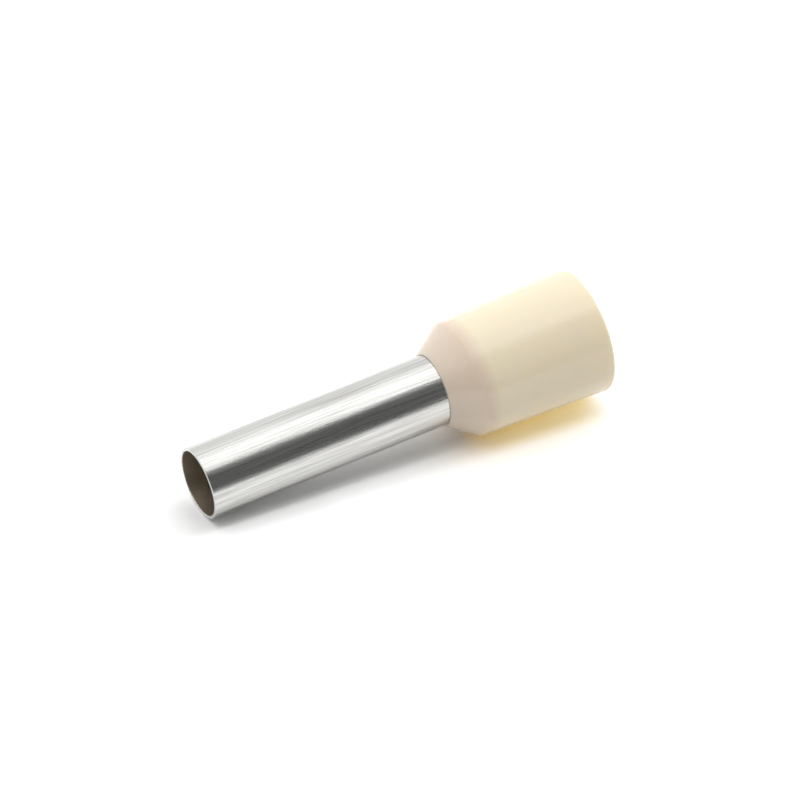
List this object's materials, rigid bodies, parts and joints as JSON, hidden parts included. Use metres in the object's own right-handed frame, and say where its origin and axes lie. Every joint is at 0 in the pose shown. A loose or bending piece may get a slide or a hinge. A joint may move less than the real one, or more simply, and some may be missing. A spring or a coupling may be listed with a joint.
{
  "type": "wire ferrule",
  "caption": "Insulated wire end ferrule: a tin-plated copper sleeve with a flared rear end in an ivory plastic collar that takes the wire's insulation.",
  "frame": {"origin": "centre of the collar's mouth, on the flat ring face that the part stands on", "axes": "+Z along the common axis of collar and sleeve, from the mouth towards the free tip; X and Y are any two directions square to it, because the part is round"},
  "size_m": [0.0086, 0.0086, 0.0289],
  "materials": {
    "tinned_copper": "bright tin plating with fine draw lines along the tube",
    "ivory_plastic": "moulded, semi-gloss, slightly translucent"
  },
  "bodies": {
    "root": {"sleeve": "tinned_copper", "collar": "ivory_plastic"}
  },
  "joints": []
}
